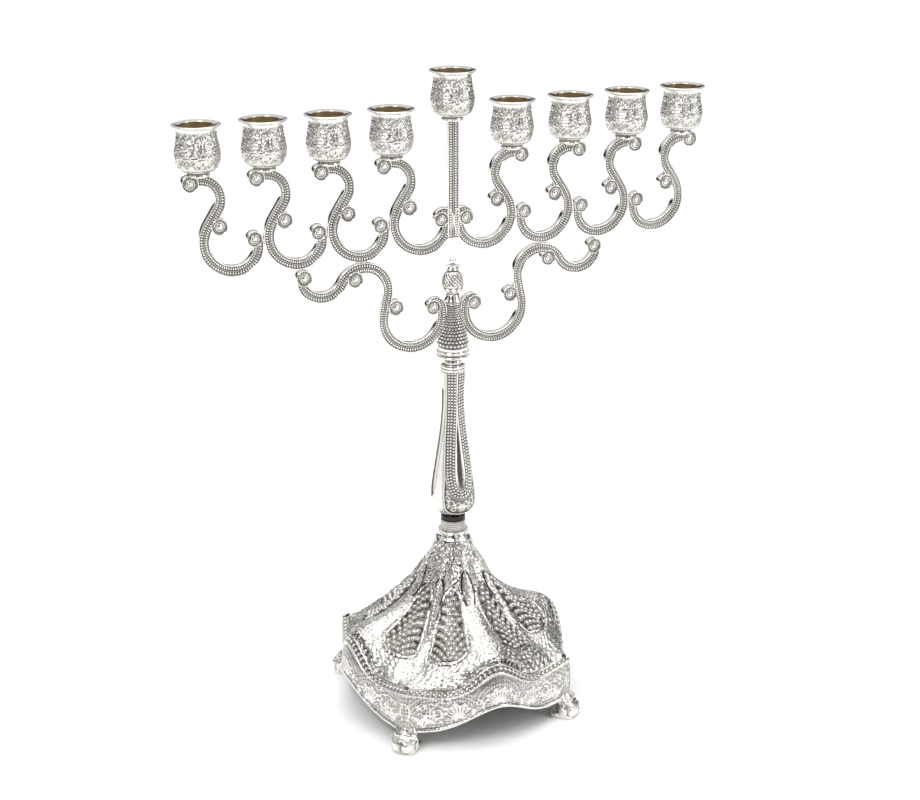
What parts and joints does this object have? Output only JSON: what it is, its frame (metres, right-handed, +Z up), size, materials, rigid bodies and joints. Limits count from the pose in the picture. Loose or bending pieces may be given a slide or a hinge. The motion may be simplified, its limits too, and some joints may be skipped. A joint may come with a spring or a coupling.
{
  "type": "menorah",
  "caption": "Scroll-branched menorah on a fluted, footed base: a raised centre light in a level row, each with a bulbous cup and a lift-out candle nozzle.",
  "frame": {"origin": "centre of the footprint, on the table", "axes": "+X along the row of lights to the right, +Y to the back, +Z up"},
  "size_m": [0.2704, 0.122, 0.33],
  "materials": {
    "silver_plate": "bright silver plating on cast metal, polished high points and darkened recesses",
    "nozzle_brass": "satin brass bore under a silver-plated flange",
    "steel_hardware": "plain zinc-plated hardware"
  },
  "bodies": {
    "candelabrum": {"base_shell": "silver_plate", "foot_front_left": "silver_plate", "foot_front_right": "silver_plate", "foot_back_left": "silver_plate", "foot_back_right": "silver_plate", "base_collar": "silver_plate", "neck_drum": "silver_plate", "neck_ring": "silver_plate", "stem": "silver_plate", "knop": "silver_plate", "beaded_cone": "silver_plate", "dome_washer": "silver_plate", "finial": "silver_plate", "lower_branch_left": "silver_plate", "lower_branch_right": "silver_plate", "upper_branch_left_1": "silver_plate", "upper_branch_left_2": "silver_plate", "upper_branch_left_3": "silver_plate", "upper_branch_left_4": "silver_plate", "upper_branch_right_1": "silver_plate", "upper_branch_right_2": "silver_plate", "upper_branch_right_3": "silver_plate", "upper_branch_right_4": "silver_plate", "centre_post": "silver_plate", "cup_left_4": "silver_plate", "cup_left_3": "silver_plate", "cup_left_2": "silver_plate", "cup_left_1": "silver_plate", "cup_centre": "silver_plate", "cup_right_1": "silver_plate", "cup_right_2": "silver_plate", "cup_right_3": "silver_plate", "cup_right_4": "silver_plate", "tie_rod": "steel_hardware", "rod_nut": "steel_hardware", "rod_washer": "steel_hardware", "cup_rivets": "steel_hardware"},
    "nozzle_left_4": {"nozzle_left_4": "nozzle_brass"},
    "nozzle_left_3": {"nozzle_left_3": "nozzle_brass"},
    "nozzle_left_2": {"nozzle_left_2": "nozzle_brass"},
    "nozzle_left_1": {"nozzle_left_1": "nozzle_brass"},
    "nozzle_centre": {"nozzle_centre": "nozzle_brass"},
    "nozzle_right_1": {"nozzle_right_1": "nozzle_brass"},
    "nozzle_right_2": {"nozzle_right_2": "nozzle_brass"},
    "nozzle_right_3": {"nozzle_right_3": "nozzle_brass"},
    "nozzle_right_4": {"nozzle_right_4": "nozzle_brass"}
  },
  "joints": [
    {"name": "nozzle_left_4_lift", "type": "slide", "parent": "candelabrum", "child": "nozzle_left_4", "axis": [0, 0, 1], "range_m": [0, 0.03]},
    {"name": "nozzle_left_3_lift", "type": "slide", "parent": "candelabrum", "child": "nozzle_left_3", "axis": [0, 0, 1], "range_m": [0, 0.03]},
    {"name": "nozzle_left_2_lift", "type": "slide", "parent": "candelabrum", "child": "nozzle_left_2", "axis": [0, 0, 1], "range_m": [0, 0.03]},
    {"name": "nozzle_left_1_lift", "type": "slide", "parent": "candelabrum", "child": "nozzle_left_1", "axis": [0, 0, 1], "range_m": [0, 0.03]},
    {"name": "nozzle_centre_lift", "type": "slide", "parent": "candelabrum", "child": "nozzle_centre", "axis": [0, 0, 1], "range_m": [0, 0.03]},
    {"name": "nozzle_right_1_lift", "type": "slide", "parent": "candelabrum", "child": "nozzle_right_1", "axis": [0, 0, 1], "range_m": [0, 0.03]},
    {"name": "nozzle_right_2_lift", "type": "slide", "parent": "candelabrum", "child": "nozzle_right_2", "axis": [0, 0, 1], "range_m": [0, 0.03]},
    {"name": "nozzle_right_3_lift", "type": "slide", "parent": "candelabrum", "child": "nozzle_right_3", "axis": [0, 0, 1], "range_m": [0, 0.03]},
    {"name": "nozzle_right_4_lift", "type": "slide", "parent": "candelabrum", "child": "nozzle_right_4", "axis": [0, 0, 1], "range_m": [0, 0.03]}
  ]
}
